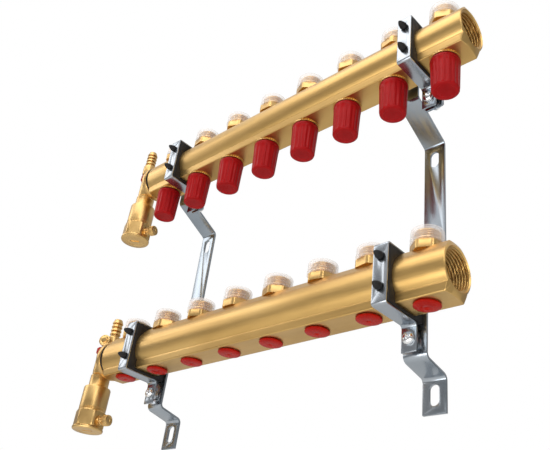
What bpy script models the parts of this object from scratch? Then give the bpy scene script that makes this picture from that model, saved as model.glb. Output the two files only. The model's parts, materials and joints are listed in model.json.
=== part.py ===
"""Underfloor heating manifold: two brass bars on a pair of bent wall brackets.

Metres, +Z up.  X runs along the bars, -Y is the front, and the wall is the plane y = 0.
The origin is on the wall, midway between the brackets, level with the supply bar's axis.
"""

from math import cos, pi, radians, sin

import bmesh
import bpy
from mathutils import Matrix, Vector

# ---- driving dimensions -------------------------------------------------------------
CIRCUITS = 8
PITCH = 0.050
BAR_LENGTH = CIRCUITS * PITCH
BAR_SHIFT = 0.026            # the return bar sits this far to the right of the supply bar
SUPPLY_AXIS = (-0.052, 0.0)  # y, z of the supply bar's axis
RETURN_AXIS = (-0.069, 0.207)
GAP = 0.0003

BAR_HALF_WIDTH = 0.0182
BAR_HALF_HEIGHT = 0.0205
BAR_BOTTOM = 0.0215
CHANNEL_RADIUS = 0.0140
THREAD_RADIUS = 0.0166       # G1 female, major radius
THREAD_DEPTH = 0.017

NIPPLE_RADIUS = 0.0105       # G1/2 male
NIPPLE_TOP = 0.0360
NIPPLE_BORE = 0.0070
STEM_RADIUS = 0.0028
CAP_TOP = -0.0230            # the hand cap's upper rim, under the return bar's axis

BRACKET_X = 0.150
BRACKET_WIDTH = 0.020
BRACKET_THICK = 0.002
BRACKET_BEND = 0.0045
SUPPLY_SEAT = -0.0288        # y of the front face that carries each bar
RETURN_SEAT = -0.0455
STRAP_WIDTH = 0.013
STRAP_THICK = 0.0015

# sides of turned pieces, and the angle cutters are turned by so that none of their
# corners falls on a corner or a symmetry plane of the piece they cut
FINE = 20
ROUND = 12
SMALL = 8
TWIST = radians(11)

BRASS = ("brass", (0.72, 0.50, 0.20), 0.30, 1.0)
RED_CAP = ("red_plastic", (0.45, 0.02, 0.03), 0.38, 0.0)
RED_PLUG = ("red_plug", (0.52, 0.02, 0.01), 0.30, 0.0)
ZINC = ("zinc_steel", (0.55, 0.58, 0.62), 0.28, 1.0)
RUBBER = ("black_rubber", (0.012, 0.012, 0.014), 0.65, 0.0)


# ---- helpers ------------------------------------------------------------------------
def clear_scene():
    for thing in list(bpy.data.objects):
        bpy.data.objects.remove(thing, do_unlink=True)


def material(spec):
    name, colour, roughness, metallic = spec
    found = bpy.data.materials.get(name)
    if found:
        return found
    made = bpy.data.materials.new(name)
    made.use_nodes = True
    shader = made.node_tree.nodes["Principled BSDF"]
    shader.inputs["Base Color"].default_value = (*colour, 1.0)
    shader.inputs["Roughness"].default_value = roughness
    shader.inputs["Metallic"].default_value = metallic
    made.diffuse_color = (*colour, 1.0)
    return made


def finish_mesh(name, bm):
    """Turn a bmesh into a mesh whose faces all point out."""
    bmesh.ops.recalc_face_normals(bm, faces=bm.faces)
    mesh = bpy.data.meshes.new(name)
    bm.to_mesh(mesh)
    bm.free()
    mesh.shade_smooth()
    mesh.set_sharp_from_angle(angle=radians(35))
    return mesh


def place(name, mesh, spec, location=(0, 0, 0), rotation=(0, 0, 0)):
    thing = bpy.data.objects.new(name, mesh)
    bpy.context.scene.collection.objects.link(thing)
    if spec and not mesh.materials:
        mesh.materials.append(material(spec))
    thing.location = location
    thing.rotation_euler = rotation
    return thing


def tool(name, mesh, location=(0, 0, 0), rotation=(0, 0, 0)):
    """A cutter or an addition: it shapes other objects and is not a part itself."""
    thing = place(name, mesh, None, location, rotation)
    thing.hide_render = True
    thing.display_type = "WIRE"
    return thing


def combine(target, other, operation):
    modifier = target.modifiers.new(other.name, "BOOLEAN")
    modifier.operation = operation
    modifier.solver = "EXACT"
    modifier.object = other


def add_turned(bm, outline, segments, frame=None, twist=0.0):
    """Turn (radius, height) points about Z; points on the axis close the ends."""
    rings = []
    for radius, height in outline:
        if radius == 0:
            rings.append([bm.verts.new((0, 0, height))])
            continue
        ring = []
        for step in range(segments):
            angle = twist + 2 * pi * step / segments
            ring.append(bm.verts.new((radius * cos(angle), radius * sin(angle), height)))
        rings.append(ring)
    for low, high in zip(rings, rings[1:]):
        for step in range(segments):
            after = (step + 1) % segments
            corners = [low[step % len(low)], low[after % len(low)],
                       high[after % len(high)], high[step % len(high)]]
            corners = list(dict.fromkeys(corners))
            if len(corners) > 2:
                bm.faces.new(corners)
    if frame is not None:
        points = [vert for ring in rings for vert in ring]
        bmesh.ops.transform(bm, matrix=frame, verts=points)


def turned(name, outline, segments=ROUND, twist=0.0):
    """A closed turned piece; the outline's two ends lie on the axis."""
    bm = bmesh.new()
    add_turned(bm, outline, segments, twist=twist)
    return finish_mesh(name, bm)


def add_prism(bm, outline, low, high, frame=None):
    """Extrude a closed outline of (u, v) points along local Z from low to high."""
    bottom = [bm.verts.new((u, v, low)) for u, v in outline]
    top = [bm.verts.new((u, v, high)) for u, v in outline]
    bm.faces.new(bottom[::-1])
    bm.faces.new(top)
    for k in range(len(outline)):
        after = (k + 1) % len(outline)
        bm.faces.new([bottom[k], bottom[after], top[after], top[k]])
    if frame is not None:
        bmesh.ops.transform(bm, matrix=frame, verts=bottom + top)


def prism(name, outline, low, high, frame=None):
    bm = bmesh.new()
    add_prism(bm, outline, low, high, frame)
    return finish_mesh(name, bm)


# local (u, v, w) to world: u along Y, v along Z, w along X
ALONG_X = Matrix(((0, 0, 1, 0), (1, 0, 0, 0), (0, 1, 0, 0), (0, 0, 0, 1)))
# local (u, v, w) to world: u along X, v along Z, w along -Y
ALONG_Y = Matrix(((1, 0, 0, 0), (0, 0, -1, 0), (0, 1, 0, 0), (0, 0, 0, 1)))


def arc(centre, radius, start, end, steps):
    points = []
    for k in range(steps + 1):
        angle = radians(start + (end - start) * k / steps)
        points.append((centre[0] + radius * cos(angle), centre[1] + radius * sin(angle)))
    return points


def ribbon(path, thick, bends):
    """Outline of a bent strip: each corner of the centre line gets its round bend and half
    the thickness is laid off on each side."""
    points = [Vector(p) for p in path]
    line = [points[0]]
    for before, corner, after, bend in zip(points, points[1:], points[2:], bends):
        back = (before - corner).normalized()
        onward = (after - corner).normalized()
        half = back.angle(onward) / 2
        reach = bend / abs(sin(half)) * cos(half)
        inner = corner + (back + onward).normalized() * (bend / sin(half))
        start, stop = corner + back * reach, corner + onward * reach
        for k in range(4):
            spoke = (start - inner).lerp(stop - inner, k / 3).normalized()
            line.append(inner + spoke * bend)
    line.append(points[-1])
    left, right = [], []
    for k, point in enumerate(line):
        ahead = line[min(k + 1, len(line) - 1)] - line[max(k - 1, 0)]
        side = Vector((-ahead.y, ahead.x)).normalized() * thick / 2
        left.append(tuple(point + side))
        right.append(tuple(point - side))
    return left + right[::-1]


def slot_outline(width, length, centre):
    half = (length - width) / 2
    x, z = centre
    return (arc((x, z + half), width / 2, 0, 180, 6)
            + arc((x, z - half), width / 2, 180, 360, 6))


# ---- the bar's cross-section ---------------------------------------------------------
def bar_outline(grow=0.0):
    """Half outline: top flat, sloping shoulder, oval side, ridge, foot; then mirrored."""
    side = [(y * (BAR_HALF_WIDTH + grow), z * (BAR_HALF_HEIGHT + grow))
            for y, z in arc((0, 0), 1.0, 43, -44, 9)]
    half = [(0.0080, BAR_HALF_HEIGHT + grow)] + side
    half += [(0.0134 + grow, -0.0150), (0.0126 + grow, -BAR_BOTTOM - grow)]
    return half + [(-y, z) for y, z in half[::-1]]


def bar(name, axis, shift, collars):
    y, z = axis
    start, stop = shift - BAR_LENGTH / 2, shift + BAR_LENGTH / 2
    body = place(name, prism(name, bar_outline(), start, stop, ALONG_X), BRASS, (0, y, z))

    fittings = bmesh.new()
    bores = bmesh.new()
    for k in range(CIRCUITS):
        spot = Matrix.Translation((shift + (k - (CIRCUITS - 1) / 2) * PITCH, 0, 0))
        add_turned(fittings, [(0, 0.0185), (0.0128, 0.0185), (0.0128, 0.0262),
                              (NIPPLE_RADIUS, 0.0262), (NIPPLE_RADIUS, NIPPLE_TOP),
                              (0, NIPPLE_TOP)], ROUND, spot)
        if collars:
            add_turned(fittings, [(0, -0.0226), (0.0127, -0.0226), (0.0127, -0.0200),
                                  (0, -0.0200)], ROUND, spot)
            stem_hole = STEM_RADIUS + GAP
            add_turned(bores, [(0, -0.0300), (stem_hole, -0.0300), (stem_hole, 0.0),
                               (NIPPLE_BORE, 0.0), (NIPPLE_BORE, 0.0400), (0, 0.0400)],
                       SMALL, spot, TWIST)
        else:
            add_turned(bores, [(0, -0.0300), (0.0062, -0.0300), (0.0062, -0.0170),
                               (0.0050, -0.0170), (0.0050, 0.0), (NIPPLE_BORE, 0.0),
                               (NIPPLE_BORE, 0.0400), (0, 0.0400)], SMALL, spot, TWIST)
    added = tool(name + "_fittings", finish_mesh(name + "_fittings", fittings), (0, y, z))
    combine(body, added, "UNION")

    channel = [(0, start - 0.001), (THREAD_RADIUS, start - 0.001),
               (THREAD_RADIUS, start + THREAD_DEPTH), (CHANNEL_RADIUS, start + THREAD_DEPTH),
               (CHANNEL_RADIUS, stop - THREAD_DEPTH), (THREAD_RADIUS, stop - THREAD_DEPTH),
               (THREAD_RADIUS, stop + 0.001), (0, stop + 0.001)]
    passage = bmesh.new()
    add_turned(passage, channel, FINE, ALONG_X, TWIST / 3)
    cutter = tool(name + "_channel", finish_mesh(name + "_channel", passage), (0, y, z))
    combine(body, cutter, "DIFFERENCE")
    cutter = tool(name + "_bores", finish_mesh(name + "_bores", bores), (0, y, z))
    combine(body, cutter, "DIFFERENCE")


# ---- valves --------------------------------------------------------------------------
def spindle_mesh(name, tail):
    """Sliding stem from its lower end, tail, up to the sealing disc under the outlet."""
    return turned(name, [(0, tail), (STEM_RADIUS, tail), (STEM_RADIUS, 0.0060),
                         (0.0078, 0.0085), (0.0078, 0.0110), (0, 0.0110)], SMALL, TWIST)


def cap_mesh():
    """Tall hand cap: shallow flutes, a chamfered closed end and a blind hole for the stem."""
    bm = bmesh.new()
    steps = 20
    levels = [(0.0119, CAP_TOP), (0.0120, -0.0246), (0.0112, -0.0530), (0.0100, -0.0550)]
    rings = []
    for radius, height in levels:
        ring = []
        for k in range(steps):
            depth = 0.0009 if k % 2 == 0 and radius > 0.010 else 0.0
            angle = 2 * pi * k / steps
            reach = radius - depth
            ring.append(bm.verts.new((reach * cos(angle), reach * sin(angle), height)))
        rings.append(ring)
    hole = STEM_RADIUS + GAP
    inner = []
    for height in (CAP_TOP, -0.0330):
        inner.append([bm.verts.new((hole * cos(2 * pi * k / steps),
                                    hole * sin(2 * pi * k / steps), height))
                      for k in range(steps)])
    rings = inner[::-1] + rings
    for low, high in zip(rings, rings[1:]):
        for k in range(steps):
            after = (k + 1) % steps
            bm.faces.new([low[k], low[after], high[after], high[k]])
    bm.faces.new(rings[0])
    bm.faces.new(rings[-1][::-1])
    return finish_mesh("return_cap", bm)


def plug_mesh():
    """Low bevelled cover with a dimple, and a stub that fills the valve's mouth."""
    return turned("supply_plug", [
        (0, -0.0188), (0.0054, -0.0188), (0.0054, -0.0218), (0.0098, -0.0218),
        (0.0102, -0.0225), (0.0100, -0.0232), (0.0078, -0.0240), (0.0016, -0.0240),
        (0, -0.0235)], ROUND)


def circuits():
    cap, plug = cap_mesh(), plug_mesh()
    return_stem = spindle_mesh("return_spindle", -0.0325)
    supply_stem = spindle_mesh("supply_spindle", -0.0140)
    for k in range(CIRCUITS):
        x = (k - (CIRCUITS - 1) / 2) * PITCH
        number = str(k + 1)
        upper = (x + BAR_SHIFT, *RETURN_AXIS)
        lower = (x, *SUPPLY_AXIS)
        place("return_cap_" + number, cap, RED_CAP, upper)
        place("return_spindle_" + number, return_stem, BRASS, upper)
        place("supply_plug_" + number, plug, RED_PLUG, lower)
        place("supply_spindle_" + number, supply_stem, BRASS, lower)


# ---- wall brackets -------------------------------------------------------------------
SLOT_WIDTH, SLOT_LENGTH = 0.0085, 0.0165
LOWER_SLOT, UPPER_SLOT = -0.0675, 0.1487
BOLT_RADIUS = 0.0025
EAR_DROP = 0.0365            # the clamp screw's distance below each bar's axis
HOOK_RISE = 0.0275           # the strap's hook tongue above each bar's axis


def bracket(name, x):
    deep = BRACKET_THICK / 2
    wall, low, high = -deep, SUPPLY_SEAT + deep, RETURN_SEAT + deep
    top = RETURN_AXIS[1] + 0.0400
    path = [(wall, -0.0820), (wall, -0.0570), (low, -0.0470), (low, 0.0400),
            (wall, 0.0540), (wall, 0.1640), (high, 0.1865), (high, top)]
    outline = ribbon(path, BRACKET_THICK, [BRACKET_BEND] * (len(path) - 2))
    half = BRACKET_WIDTH / 2
    strip = place(name, prism(name, outline, -half, half, ALONG_X), ZINC, (x, 0, 0))

    reach = BAR_SHIFT + 0.0085
    inner = BAR_SHIFT - 0.0085
    shoulder = RETURN_AXIS[1] - 0.0060
    under = RETURN_AXIS[1] - EAR_DROP - 0.0060
    lug = [(half - 0.004, shoulder), (inner, shoulder), (inner, under), (reach, under),
           (reach, top), (half - 0.004, top)]
    plate = prism(name + "_lug", lug, -RETURN_SEAT - BRACKET_THICK, -RETURN_SEAT, ALONG_Y)
    combine(strip, tool(name + "_lug", plate, (x, 0, 0)), "UNION")

    holes = bmesh.new()
    for height in (LOWER_SLOT, UPPER_SLOT):
        add_prism(holes, slot_outline(SLOT_WIDTH, SLOT_LENGTH, (0, height)),
                  -0.010, 0.010, ALONG_Y)
    for across, seat, axis in ((0, SUPPLY_SEAT, SUPPLY_AXIS),
                               (BAR_SHIFT, RETURN_SEAT, RETURN_AXIS)):
        low, high = -seat - 0.006, -seat + 0.006
        bolt = arc((across, axis[1] - EAR_DROP), BOLT_RADIUS + GAP, 0, 330, 11)
        add_prism(holes, bolt, low, high, ALONG_Y)
        mouth, level = STRAP_WIDTH / 2 + 0.0004, axis[1] + HOOK_RISE
        window = [(across - mouth, level - 0.0030), (across + mouth, level - 0.0030),
                  (across + mouth, level + 0.0014), (across - mouth, level + 0.0014)]
        add_prism(holes, window, low, high, ALONG_Y)
    cutter = tool(name + "_holes", finish_mesh(name + "_holes", holes), (x, 0, 0))
    combine(strip, cutter, "DIFFERENCE")


# ---- pipe clamps ---------------------------------------------------------------------
STRAP_FRONT = -0.0228        # centre line of the strap in front of the bar, from its axis
STRAP_UNDER = -0.0250
STRAP_OVER = 0.0243
STUD_HEIGHTS = (0.0135, -0.0115)
EAR_BACK = 0.0160            # the ear's centre line behind the bar's axis


def clamp(name, x, axis, seat):
    y, z = axis
    behind = seat - y + BRACKET_THICK + 0.0012
    hook = HOOK_RISE - STRAP_THICK / 2
    path = [(EAR_BACK, -0.0470), (EAR_BACK, STRAP_UNDER), (STRAP_FRONT, STRAP_UNDER),
            (STRAP_FRONT, STRAP_OVER), (behind - 0.012, STRAP_OVER),
            (behind - 0.005, hook), (behind + 0.001, hook), (behind + 0.001, hook - 0.007)]
    half = STRAP_WIDTH / 2
    outline = ribbon(path, STRAP_THICK, [0.0035, 0.0013, 0.0013, 0.0009, 0.0009, 0.0009])
    strap = place(name, prism(name, outline, -half, half, ALONG_X), ZINC, (x, y, z))
    holes = bmesh.new()
    for height in STUD_HEIGHTS:
        ring = arc((0, height), 0.0029, 0, 330, 11)
        add_prism(holes, ring, -STRAP_FRONT - 0.003, -STRAP_FRONT + 0.003, ALONG_Y)
    ring = arc((0, -EAR_DROP), BOLT_RADIUS + GAP, 0, 330, 11)
    add_prism(holes, ring, -EAR_BACK - 0.003, -EAR_BACK + 0.003, ALONG_Y)
    cutter = tool(name + "_holes", finish_mesh(name + "_holes", holes), (x, y, z))
    combine(strap, cutter, "DIFFERENCE")


def liner(name, x, axis, seat):
    """Rubber between strap and bar: square outside, the bar's own shape inside."""
    y, z = axis
    front = STRAP_FRONT + STRAP_THICK / 2 + GAP
    under = STRAP_UNDER + STRAP_THICK / 2 + GAP
    over = STRAP_OVER - STRAP_THICK / 2 - GAP
    back = seat - y - GAP
    half = STRAP_WIDTH / 2 + 0.0006
    ring = [(front, under + 0.0030), (front + 0.0030, under), (back, under),
            (back, over), (front + 0.0030, over), (front, over - 0.0030)]
    body = place(name, prism(name, ring, -half, half, ALONG_X), RUBBER, (x, y, z))
    studs = bmesh.new()
    for height in STUD_HEIGHTS:
        frame = Matrix.Translation((0, 0, height)) @ ALONG_Y
        add_turned(studs, [(0, -front - 0.0010), (0.0025, -front - 0.0010),
                           (0.0025, -front + 0.0030), (0.0020, -front + 0.0060),
                           (0.0008, -front + 0.0088), (0, -front + 0.0092)], SMALL, frame)
    added = tool(name + "_studs", finish_mesh(name + "_studs", studs), (x, y, z))
    combine(body, added, "UNION")
    core = prism(name + "_core", bar_outline(GAP), -half - 0.002, half + 0.002, ALONG_X)
    combine(body, tool(name + "_core", core, (x, y, z)), "DIFFERENCE")


def bolt_mesh(seat_gap):
    """Pan-head screw along local Z; its nut is behind the bracket."""
    head = EAR_BACK - STRAP_THICK / 2 - GAP
    bm = bmesh.new()
    far = head + 0.0020 + seat_gap
    add_turned(bm, [(0, -head + 0.0030), (0.0030, -head + 0.0030), (0.0044, -head + 0.0014),
                    (0.0044, -head), (BOLT_RADIUS, -head), (BOLT_RADIUS, -far),
                    (0.0043, -far), (0.0043, -far - 0.0036), (BOLT_RADIUS, -far - 0.0036),
                    (BOLT_RADIUS, -far - 0.0060), (0, -far - 0.0060)], SMALL, ALONG_Y)
    return bm


def clamps():
    for side, x in (("left", -BRACKET_X), ("right", BRACKET_X)):
        for run, axis, seat, shift in (("supply", SUPPLY_AXIS, SUPPLY_SEAT, 0.0),
                                       ("return", RETURN_AXIS, RETURN_SEAT, BAR_SHIFT)):
            label = run + "_" + side
            clamp("clamp_strap_" + label, x + shift, axis, seat)
            liner("clamp_liner_" + label, x + shift, axis, seat)
            gap = seat - axis[0] - EAR_BACK + STRAP_THICK / 2 + GAP
            name = "clamp_bolt_" + label
            mesh = finish_mesh(name, bolt_mesh(gap + GAP))
            place(name, mesh, ZINC, (x + shift, axis[0], axis[1] - EAR_DROP))


# ---- end piece with drain and air vent -----------------------------------------------
TEE_OFFSET = 0.0215          # the tee's vertical axis, outwards from the bar's end
TEE_RADIUS = 0.0092
TEE_TOP = 0.0097
KNOB_HEIGHT = 0.0222         # the drain knob's axis above the bar's axis
BARB_OFFSET = 0.0045         # the hose barb's axis beside the tee's
BARB_BORE = 0.0034
VENT_TOP = -0.0140
VENT_NECK = 0.0101
VENT_RADIUS = 0.0138
VENT_BOTTOM = -0.0715
VENT_PORT = -0.0615          # height of the vent's side port
PORT_YAW = radians(15)


def end_piece(run, axis, shift, drain_yaw):
    y, z = axis
    end = shift - BAR_LENGTH / 2
    centre = (end - TEE_OFFSET, y, z)

    name = "end_piece_" + run
    flange = bmesh.new()
    add_turned(flange, [(0, -0.0150), (0.0090, -0.0150), (0.0092, -0.0100), (0.0188, -0.0080),
                        (0.0200, -0.0070), (0.0200, -0.0012), (0.0185, -0.0006),
                        (0.0185, -GAP), (0.0162, -GAP), (0.0162, 0.0130), (0, 0.0130)],
               FINE, ALONG_X)
    body = place(name, finish_mesh(name, flange), BRASS, (end, y, z))
    tee = turned(name + "_tee", [(0, VENT_TOP + GAP), (TEE_RADIUS, VENT_TOP + GAP),
                                 (TEE_RADIUS, TEE_TOP), (0, TEE_TOP)])
    combine(body, tool(name + "_tee", tee, centre), "UNION")
    inside = turned(name + "_inside", [(0, VENT_TOP - 0.001), (0.0060, VENT_TOP - 0.001),
                                       (0.0060, TEE_TOP + 0.001), (0, TEE_TOP + 0.001)],
                    SMALL, TWIST)
    combine(body, tool(name + "_inside", inside, centre), "DIFFERENCE")
    run_bore = bmesh.new()
    add_turned(run_bore, [(0, -TEE_OFFSET), (0.0056, -TEE_OFFSET), (0.0056, 0.0020),
                          (0.0120, 0.0020), (0.0120, 0.0140), (0, 0.0140)],
               SMALL, ALONG_X, TWIST)
    cutter = tool(name + "_run", finish_mesh(name + "_run", run_bore), (end, y, z))
    combine(body, cutter, "DIFFERENCE")

    ring = bmesh.new()
    add_turned(ring, [(0, 0.0100), (0.0100, 0.0100), (0.0112, 0.0108), (0.0112, 0.0146),
                      (0.0100, 0.0155), (0, 0.0155)], ROUND)
    name = "drain_wheel_" + run
    wheel = place(name, finish_mesh(name, ring), RED_PLUG, centre)
    eye = turned(name + "_eye", [(0, 0.0090), (0.0062, 0.0090), (0.0062, 0.0165),
                                 (0, 0.0165)], ROUND, TWIST)
    combine(wheel, tool(name + "_eye", eye, centre), "DIFFERENCE")

    # the elbow's own frame: knob along +X, hose barb beside the swivel axis towards +Y
    name = "drain_elbow_" + run
    yaw = (0, 0, drain_yaw)
    barb_frame = Matrix.Translation((0, BARB_OFFSET, 0))
    foot = turned(name, [(0, TEE_TOP - 0.0040), (0.0055, TEE_TOP - 0.0040),
                         (0.0055, 0.0158), (0.0066, 0.0158), (0.0066, 0.0235),
                         (0, 0.0235)])
    body = place(name, foot, BRASS, centre, yaw)
    shank = [(0, 0.0170), (0.0060, 0.0170), (0.0068, 0.0180), (0.0068, 0.0290),
             (0.0055, 0.0315), (0.0046, 0.0318), (0.0046, 0.0330)]
    for k in range(4):
        base = 0.0330 + 0.0043 * k
        shank += [(0.0058, base), (0.0044, base + 0.0040)]
    shank += [(0.0042, 0.0505), (0, 0.0505)]
    barb = bmesh.new()
    add_turned(barb, shank, ROUND, barb_frame, TWIST)
    combine(body, tool(name + "_barb", finish_mesh(name + "_barb", barb), centre, yaw),
            "UNION")
    height = Matrix.Translation((0, 0, KNOB_HEIGHT)) @ Matrix.Rotation(pi / 2, 4, "Y")
    boss = bmesh.new()
    add_turned(boss, [(0, 0.0010), (0.0048, 0.0010), (0.0048, 0.0072), (0, 0.0072)], ROUND,
               height, TWIST / 2)
    combine(body, tool(name + "_boss", finish_mesh(name + "_boss", boss), centre, yaw),
            "UNION")
    bore = bmesh.new()
    add_turned(bore, [(0, 0.0235), (BARB_BORE, 0.0235), (BARB_BORE, 0.0515), (0, 0.0515)],
               SMALL, barb_frame, TWIST / 2)
    combine(body, tool(name + "_bore", finish_mesh(name + "_bore", bore), centre, yaw),
            "DIFFERENCE")

    name = "drain_knob_" + run
    knob = bmesh.new()
    add_turned(knob, [(0, 0.0075), (0.0056, 0.0075), (0.0062, 0.0082), (0.0062, 0.0118),
                      (0.0050, 0.0130), (0, 0.0130)], ROUND, height)
    place(name, finish_mesh(name, knob), BRASS, centre, yaw)

    vent(run, centre)


def vent(run, centre):
    """Hanging float vent: neck, float chamber, collar, screwed lid and side port."""
    name = "vent_body_" + run
    shell = turned(name, [
        (0, VENT_TOP - GAP), (VENT_NECK, VENT_TOP - GAP), (VENT_NECK, VENT_TOP - 0.0120),
        (0.0122, VENT_TOP - 0.0125), (VENT_RADIUS, VENT_TOP - 0.0140),
        (VENT_RADIUS, -0.0520), (0.0150, -0.0528), (0.0150, -0.0683), (0.0157, -0.0688),
        (0.0157, -0.0706), (0.0150, VENT_BOTTOM), (0, VENT_BOTTOM)], ROUND)
    body = place(name, shell, BRASS, centre)
    port = bmesh.new()
    yaw = Matrix.Rotation(PORT_YAW, 4, "Z")
    frame = Matrix.Translation((0, 0, VENT_PORT)) @ yaw @ Matrix.Rotation(pi / 2, 4, "Y")
    add_turned(port, [(0, 0.0120), (0.0044, 0.0120), (0.0044, 0.0190), (0, 0.0190)],
               SMALL, frame)
    combine(body, tool(name + "_port", finish_mesh(name + "_port", port), centre),
            "UNION")
    chamber = turned(name + "_chamber", [
        (0, VENT_TOP + 0.0010), (0.0055, VENT_TOP + 0.0010), (0.0055, VENT_TOP - 0.0130),
        (0.0116, VENT_TOP - 0.0160), (0.0116, -0.0650), (0, -0.0650)], ROUND, TWIST)
    combine(body, tool(name + "_chamber", chamber, centre), "DIFFERENCE")

    name = "vent_cap_" + run
    cap = bmesh.new()
    add_turned(cap, [(0, 0.0193), (0.0052, 0.0193), (0.0056, 0.0200), (0.0056, 0.0252),
                     (0.0046, 0.0262), (0, 0.0262)], ROUND, Matrix.Rotation(pi / 2, 4, "Y"))
    place(name, finish_mesh(name, cap), BRASS,
          (centre[0], centre[1], centre[2] + VENT_PORT), (0, 0, PORT_YAW))


def build():
    clear_scene()
    bar("supply_bar", SUPPLY_AXIS, 0.0, False)
    bar("return_bar", RETURN_AXIS, BAR_SHIFT, True)
    circuits()
    bracket("bracket_left", -BRACKET_X)
    bracket("bracket_right", BRACKET_X)
    clamps()
    end_piece("supply", SUPPLY_AXIS, 0.0, radians(-60))
    end_piece("return", RETURN_AXIS, BAR_SHIFT, radians(164))


build()
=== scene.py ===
"""Underfloor heating manifold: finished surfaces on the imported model's frame."""

import json
from math import cos, floor, pi, radians, sin

import bmesh
import bpy
from mathutils import Matrix, Vector


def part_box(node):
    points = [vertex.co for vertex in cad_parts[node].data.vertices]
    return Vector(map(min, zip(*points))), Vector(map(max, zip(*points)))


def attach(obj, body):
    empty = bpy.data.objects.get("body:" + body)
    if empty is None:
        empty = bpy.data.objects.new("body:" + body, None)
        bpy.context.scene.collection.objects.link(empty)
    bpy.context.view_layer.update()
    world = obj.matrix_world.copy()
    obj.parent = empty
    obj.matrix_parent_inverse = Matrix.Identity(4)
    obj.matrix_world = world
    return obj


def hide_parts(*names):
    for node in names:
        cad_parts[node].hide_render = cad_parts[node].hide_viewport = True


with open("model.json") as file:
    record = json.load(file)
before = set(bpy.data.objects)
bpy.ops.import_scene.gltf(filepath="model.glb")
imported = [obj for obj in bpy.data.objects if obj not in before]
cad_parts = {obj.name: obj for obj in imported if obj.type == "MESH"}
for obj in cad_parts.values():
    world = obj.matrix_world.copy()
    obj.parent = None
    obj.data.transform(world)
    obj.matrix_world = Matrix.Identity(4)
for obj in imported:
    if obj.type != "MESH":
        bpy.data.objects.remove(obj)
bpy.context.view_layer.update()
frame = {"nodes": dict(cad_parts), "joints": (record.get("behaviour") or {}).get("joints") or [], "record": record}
BODIES = frame["record"]["behaviour"]["bodies"]
BODY_OF = {node: body for body, nodes in BODIES.items() for node in nodes}
CIRCUITS = range(1, 9)

# the bars, in metres from each bar's own axis
BAR_HALF_WIDTH, BAR_HALF_HEIGHT, BAR_FOOT = 0.0182, 0.0205, 0.0215
NIPPLE_TOP = 0.0360
NIPPLE_THREAD = 0.0105         # G1/2 male, major radius
OUTLET_BORE = 0.0070
G_ONE_PITCH, G_HALF_PITCH = 0.002309, 0.001814

# local (u, v, w) to world: u along Y, v along Z, w along X
ALONG_X = Matrix(((0, 0, 1, 0), (1, 0, 0, 0), (0, 1, 0, 0), (0, 0, 0, 1)))
# local (u, v, w) to world: u along X, v along Z, w along -Y
ALONG_Y = Matrix(((1, 0, 0, 0), (0, 0, -1, 0), (0, 1, 0, 0), (0, 0, 0, 1)))


# ---- materials ------------------------------------------------------------------------
def fill_ramp(ramp, stops):
    elements = ramp.color_ramp.elements
    while len(elements) < len(stops):
        elements.new(0.5)
    for element, (position, colour) in zip(elements, stops):
        element.position = position
        element.color = (*colour, 1.0)


class Look:
    """A Principled material with a few procedural layers."""

    def __init__(self, name, roughness, metallic=0.0, **constants):
        self.material = bpy.data.materials.new(name)
        self.material.use_nodes = True
        self.nodes = self.material.node_tree.nodes
        self.links = self.material.node_tree.links
        self.shader = self.nodes["Principled BSDF"]
        self.shader.inputs["Roughness"].default_value = roughness
        self.shader.inputs["Metallic"].default_value = metallic
        for socket, value in constants.items():
            self.shader.inputs[socket.replace("_", " ")].default_value = value
        self.place = self.nodes.new("ShaderNodeTexCoord").outputs["Object"]
        self.bumps = None

    def noise(self, scale, stretch=(1, 1, 1), detail=3.0):
        mapping = self.nodes.new("ShaderNodeMapping")
        mapping.inputs["Scale"].default_value = stretch
        self.links.new(self.place, mapping.inputs["Vector"])
        noise = self.nodes.new("ShaderNodeTexNoise")
        noise.inputs["Scale"].default_value = scale
        noise.inputs["Detail"].default_value = detail
        self.links.new(mapping.outputs["Vector"], noise.inputs["Vector"])
        return noise.outputs["Fac"]

    def ramp(self, value, stops):
        ramp = self.nodes.new("ShaderNodeValToRGB")
        fill_ramp(ramp, stops)
        self.links.new(value, ramp.inputs["Fac"])
        return ramp.outputs["Color"]

    def spread(self, value, low, high, start=0.3, stop=0.7):
        span = self.nodes.new("ShaderNodeMapRange")
        for socket, number in (("From Min", start), ("From Max", stop),
                               ("To Min", low), ("To Max", high)):
            span.inputs[socket].default_value = number
        self.links.new(value, span.inputs["Value"])
        return span.outputs["Result"]

    def colour(self, value, *stops):
        self.links.new(self.ramp(value, stops), self.shader.inputs["Base Color"])
        return self

    def rough(self, value, low, high):
        self.links.new(self.spread(value, low, high), self.shader.inputs["Roughness"])
        return self

    def bump(self, value, strength, distance):
        bump = self.nodes.new("ShaderNodeBump")
        bump.inputs["Strength"].default_value = strength
        bump.inputs["Distance"].default_value = distance
        self.links.new(value, bump.inputs["Height"])
        if self.bumps:
            self.links.new(self.bumps, bump.inputs["Normal"])
        self.bumps = bump.outputs["Normal"]
        self.links.new(self.bumps, self.shader.inputs["Normal"])
        return self

    def see_through(self, clear, edge):
        """Nearly clear where seen square on, milkier at grazing angles."""
        facing = self.nodes.new("ShaderNodeLayerWeight")
        facing.inputs["Blend"].default_value = 0.45
        alpha = self.spread(facing.outputs["Facing"], clear, edge, 0.1, 0.9)
        self.links.new(alpha, self.shader.inputs["Alpha"])
        return self


def extruded_brass():
    look = Look("extruded_brass", 0.36, 1.0, Anisotropic=0.3, Coat_Weight=0.25,
                Coat_Roughness=0.38)
    streak = look.noise(900, (0.02, 1, 1), 4)
    cloud = look.noise(26, (0.35, 1, 1), 4)
    look.colour(cloud, (0.28, (0.53, 0.32, 0.095)), (0.50, (0.63, 0.395, 0.130)),
                (0.75, (0.69, 0.46, 0.170)))
    look.rough(streak, 0.31, 0.43)
    return look.bump(streak, 0.09, 0.0002).bump(look.noise(2600), 0.05, 0.0001).material


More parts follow.
